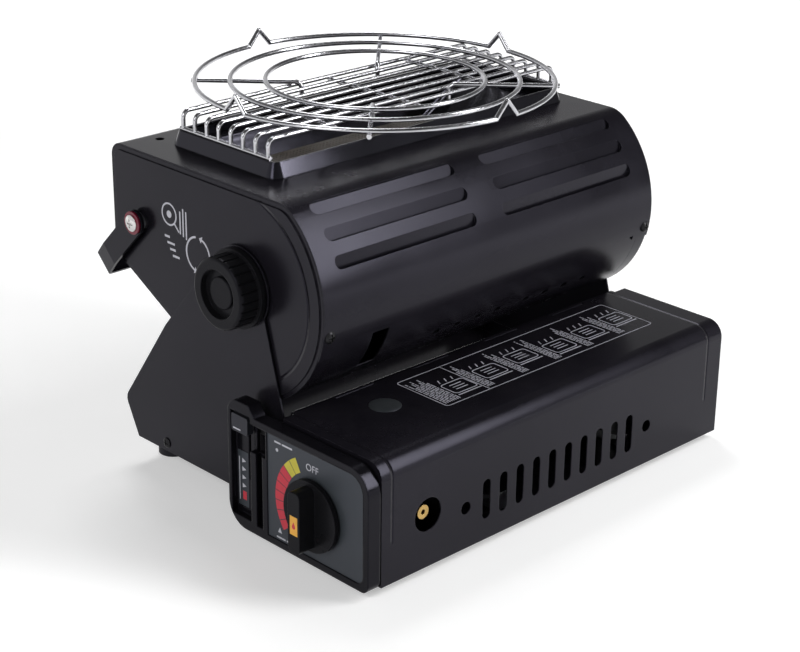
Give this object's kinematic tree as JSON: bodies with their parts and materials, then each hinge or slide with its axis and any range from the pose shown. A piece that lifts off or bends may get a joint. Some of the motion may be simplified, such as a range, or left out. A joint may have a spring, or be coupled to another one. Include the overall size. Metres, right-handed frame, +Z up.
{
  "type": "portable gas heater",
  "caption": "Portable cartridge gas heater with a tilting drum head, cartridge bench, wire guard, round pot support and carrying handle.",
  "frame": {"origin": "middle of the object's bounding box, on the floor", "axes": "+X to the lid's right end (control panel at -X), +Y to the back, +Z up"},
  "size_m": [0.299, 0.2609, 0.2243],
  "materials": {
    "black_paint": "satin black paint on pressed steel",
    "enamel_black": "glossy black enamel on pressed steel",
    "bezel_black": "glossy black moulding",
    "knob_black": "satin black moulding",
    "label_green": "printed dark label",
    "lever_grey": "grey moulding",
    "tag_orange": "orange moulding",
    "collar_red": "red moulding",
    "chrome_wire": "bright chrome plate",
    "plain_steel": "zinc plated steel",
    "bright_steel": "bright pressed steel",
    "brass": "turned brass",
    "cast_alloy": "die cast alloy",
    "rubber_black": "black rubber",
    "ceramic": "porous burner ceramic"
  },
  "bodies": {
    "base": {"front_feet": "rubber_black", "rear_feet": "rubber_black", "base_tray": "black_paint", "rear_cross_bar": "black_paint", "left_bay_plate": "black_paint", "right_bay_plate": "black_paint", "bay_rear_wall": "black_paint", "lid_hinge_pin": "plain_steel", "cartridge_saddles": "plain_steel", "cartridge_guide": "plain_steel", "regulator_body": "cast_alloy", "regulator_cap": "plain_steel", "cartridge_inlet": "brass", "test_nipple": "brass", "piezo_igniter": "knob_black", "control_bezel": "bezel_black", "control_label_plate": "label_green", "lever_label_strip": "label_green", "left_stand_plate": "black_paint", "right_stand_plate": "black_paint", "pivot_washers": "plain_steel", "base_screws": "plain_steel", "gas_hose": "rubber_black", "hose_coupling": "brass", "ignition_lead": "rubber_black"},
    "lid": {"cartridge_lid": "black_paint"},
    "flow_valve": {"flow_knob": "knob_black", "knob_tag": "tag_orange", "valve_spindle": "brass"},
    "lock": {"lock_lever": "plain_steel", "lever_cap": "lever_grey"},
    "tilt_clamp": {"tilt_knob": "knob_black", "tilt_knob_insert": "knob_black"},
    "head": {"left_end_plate": "black_paint", "right_end_plate": "black_paint", "outer_shell": "black_paint", "lower_shell": "black_paint", "head_screws": "black_paint", "burner_frame": "enamel_black", "reflector": "enamel_black", "burner_box": "plain_steel", "ceramic_burner": "ceramic", "mixing_tube": "plain_steel", "gas_injector": "brass", "spark_electrode": "ceramic", "electrode_lead": "rubber_black", "wire_guard": "chrome_wire", "pivot_stud": "plain_steel", "right_pivot_bolt": "plain_steel", "handle_bushes": "plain_steel", "handle_collars": "collar_red", "handle_screws": "plain_steel"},
    "handle": {"carrying_handle": "black_paint"},
    "support": {"pot_support": "chrome_wire"}
  },
  "joints": [
    {"name": "head_tilt", "type": "hinge", "parent": "base", "child": "head", "pos_m": [0.0109, -0.01545, 0.1345], "axis": [1, 0, 0], "range_deg": [0, 85]},
    {"name": "lid_hinge", "type": "hinge", "parent": "base", "child": "lid", "pos_m": [0.0116, -0.05295, 0.0718], "axis": [1, 0, 0], "range_deg": [-50, 0]},
    {"name": "flow_knob_turn", "type": "hinge", "parent": "base", "child": "flow_valve", "pos_m": [-0.1355, -0.08955, 0.034], "axis": [1, 0, 0], "range_deg": [-130, 0]},
    {"name": "lock_lever_slide", "type": "slide", "parent": "base", "child": "lock", "axis": [0, 0, -1], "range_m": [0, 0.03]},
    {"name": "tilt_knob_turn", "type": "hinge", "parent": "head", "child": "tilt_clamp", "pos_m": [-0.1295, -0.01545, 0.1345], "axis": [1, 0, 0], "range_deg": [0, 180]},
    {"name": "handle_swing", "type": "hinge", "parent": "head", "child": "handle", "pos_m": [0.0109, 0.07255, 0.148], "axis": [1, 0, 0], "range_deg": [-48, 130]},
    {"name": "pot_support_lift", "type": "slide", "parent": "head", "child": "support", "axis": [0, 0, 1], "range_m": [0, 0.03]}
  ]
}
